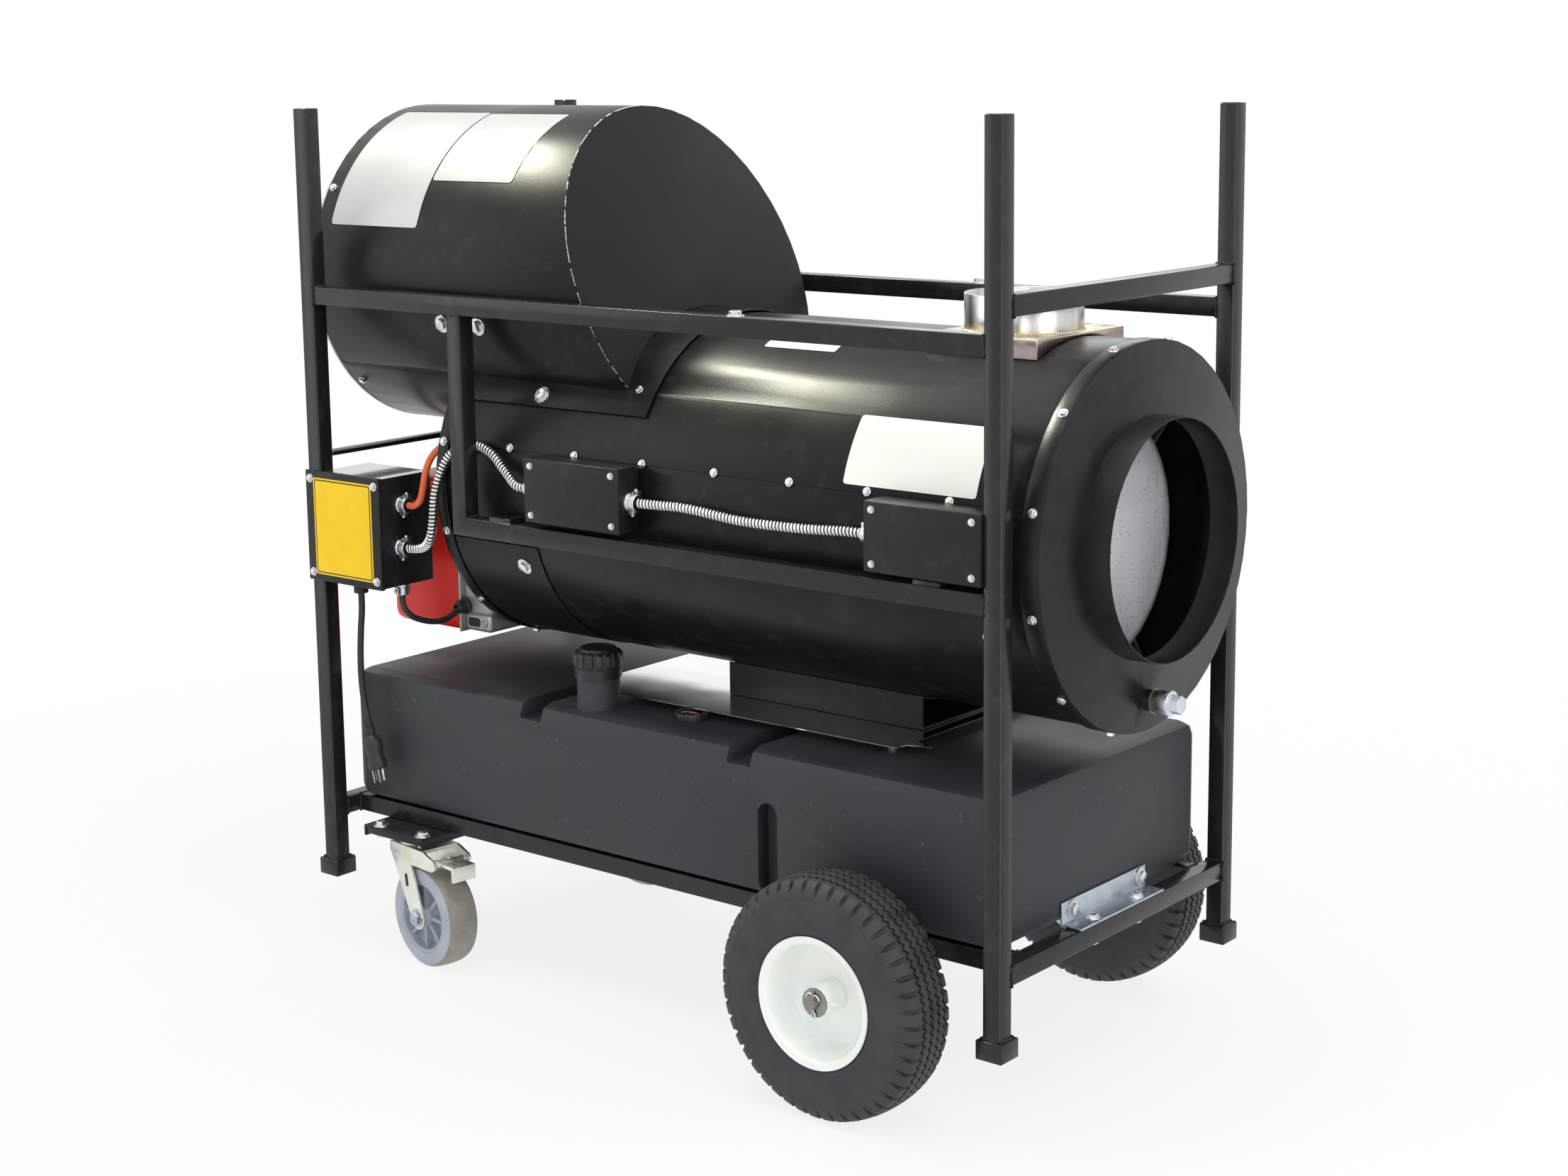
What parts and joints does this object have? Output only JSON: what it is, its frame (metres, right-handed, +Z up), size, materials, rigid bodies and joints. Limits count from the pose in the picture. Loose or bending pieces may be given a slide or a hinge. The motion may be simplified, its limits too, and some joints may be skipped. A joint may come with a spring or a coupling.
{
  "type": "indirect fired heater",
  "caption": "Wheeled tube-frame heater with a drum casing, a fan housing above, a burner, a control box and a moulded fuel tank below.",
  "frame": {"origin": "on the floor under the middle of the object's bounding box, measured without the power cord", "axes": "+X towards the warm air outlet, -X towards the burner; -Y is the side with the control box and junction boxes; +Z up"},
  "size_m": [1.322, 0.7188, 1.2472],
  "materials": {
    "black_paint": "semi-gloss powder coat",
    "matte_black": "matte",
    "tank_plastic": "rotomoulded satin",
    "cream_paint": "gloss",
    "tyre_rubber": "matte",
    "grey_tread": "matte",
    "zinc": "zinc plated",
    "steel": "bare",
    "stainless": "satin with weld tint",
    "bright_sheet": "bright rolled sheet",
    "cast_aluminium": "as cast",
    "conduit_metal": "satin",
    "red_paint": "gloss",
    "orange_plastic": "satin",
    "red_plastic": "satin",
    "black_plastic": "satin",
    "black_rubber": "satin"
  },
  "bodies": {
    "heater": {"base_frame": "black_paint", "near_burner_post": "black_paint", "far_burner_post": "black_paint", "near_outlet_post": "black_paint", "far_outlet_post": "black_paint", "near_upper_rail": "black_paint", "far_upper_rail": "black_paint", "upper_end_rail": "black_paint", "near_mid_rail": "black_paint", "far_mid_rail": "black_paint", "caster_channel": "black_paint", "casing_top": "black_paint", "casing_bottom": "black_paint", "front_ring": "black_paint", "rear_plate": "black_paint", "saddle_cover": "black_paint", "fan_housing": "black_paint", "inlet_pan": "black_paint", "control_box": "black_paint", "first_junction_box": "black_paint", "second_junction_box": "black_paint", "first_junction_cover": "black_paint", "second_junction_cover": "black_paint", "drum_saddle": "black_paint", "control_cover": "black_paint", "slant_plate": "matte_black", "fan_motor": "matte_black", "fuel_tank": "tank_plastic", "rear_axle": "zinc", "tank_bracket": "zinc", "inlet_guard": "zinc", "drain_plug": "zinc", "heat_exchanger": "steel", "exhaust_outlet": "stainless", "heat_shield": "bright_sheet", "burner_body": "cast_aluminium", "first_conduit": "conduit_metal", "second_conduit": "conduit_metal", "burner_hood": "red_paint", "orange_cable": "orange_plastic", "fuel_gauge": "black_plastic", "power_cord": "black_rubber", "power_plug": "black_rubber", "burner_lead": "black_rubber"},
    "near_wheel": {"near_tyre": "tyre_rubber", "near_rim": "cream_paint"},
    "far_wheel": {"far_tyre": "tyre_rubber", "far_rim": "cream_paint"},
    "near_swivel": {"near_fork": "zinc"},
    "far_swivel": {"far_fork": "zinc"},
    "near_caster": {"near_caster_wheel": "grey_tread"},
    "far_caster": {"far_caster_wheel": "grey_tread"},
    "near_brake": {"near_brake_pedal": "zinc"},
    "far_brake": {"far_brake_pedal": "zinc"},
    "fan": {"fan_blades": "cast_aluminium"},
    "cap_seal": {"cap_gasket": "black_rubber"},
    "cap": {"filler_cap": "black_plastic"},
    "pointer": {"gauge_pointer": "red_plastic"},
    "switch": {"power_switch": "black_plastic"},
    "reset": {"reset_button": "red_plastic"}
  },
  "joints": [
    {"name": "near_wheel_spin", "type": "hinge", "parent": "heater", "child": "near_wheel", "pos_m": [0.34945, -0.3093, 0.1575], "axis": [0, 1, 0], "continuous": true},
    {"name": "far_wheel_spin", "type": "hinge", "parent": "heater", "child": "far_wheel", "pos_m": [0.34945, 0.3093, 0.1575], "axis": [0, 1, 0], "continuous": true},
    {"name": "near_swivel_turn", "type": "hinge", "parent": "heater", "child": "near_swivel", "pos_m": [-0.48535, -0.23, 0.1929], "axis": [0, 0, 1], "continuous": true},
    {"name": "far_swivel_turn", "type": "hinge", "parent": "heater", "child": "far_swivel", "pos_m": [-0.48535, 0.23, 0.1929], "axis": [0, 0, 1], "continuous": true},
    {"name": "near_caster_spin", "type": "hinge", "parent": "near_swivel", "child": "near_caster", "pos_m": [-0.45039, -0.23554, 0.0762], "axis": [0.1564, 0.9877, 0], "continuous": true},
    {"name": "far_caster_spin", "type": "hinge", "parent": "far_swivel", "child": "far_caster", "pos_m": [-0.45021, 0.23431, 0.0762], "axis": [-0.1219, 0.9925, 0], "continuous": true},
    {"name": "near_brake_press", "type": "hinge", "parent": "near_swivel", "child": "near_brake", "pos_m": [-0.41127, -0.24173, 0.164], "axis": [0.1564, 0.9877, 0], "range_deg": [0, 18]},
    {"name": "far_brake_press", "type": "hinge", "parent": "far_swivel", "child": "far_brake", "pos_m": [-0.41091, 0.23914, 0.164], "axis": [-0.1219, 0.9925, 0], "range_deg": [0, 18]},
    {"name": "fan_spin", "type": "hinge", "parent": "heater", "child": "fan", "pos_m": [-0.58935, 0, 1.0102], "axis": [1, 0, 0], "continuous": true},
    {"name": "cap_lift", "type": "slide", "parent": "heater", "child": "cap_seal", "axis": [0, 0, 1], "range_m": [0, 0.004]},
    {"name": "cap_turn", "type": "hinge", "parent": "cap_seal", "child": "cap", "pos_m": [-0.15135, -0.192, 0.4705], "axis": [0, 0, 1], "range_deg": [0, 360]},
    {"name": "pointer_turn", "type": "hinge", "parent": "heater", "child": "pointer", "pos_m": [-0.00235, -0.168, 0.4325], "axis": [0, 0, 1], "range_deg": [-60, 60]},
    {"name": "switch_tilt", "type": "hinge", "parent": "heater", "child": "switch", "pos_m": [-0.6125, -0.222, 0.6447], "axis": [0, 1, 0], "range_deg": [-12, 12]},
    {"name": "reset_press", "type": "slide", "parent": "heater", "child": "reset", "axis": [1, 0, 0], "range_m": [0, 0.003], "stiffness_N_per_m": 200}
  ],
  "couplings": [
    {"joint": "cap_lift", "follows": "cap_turn", "m_per_rad": 0.000636}
  ]
}
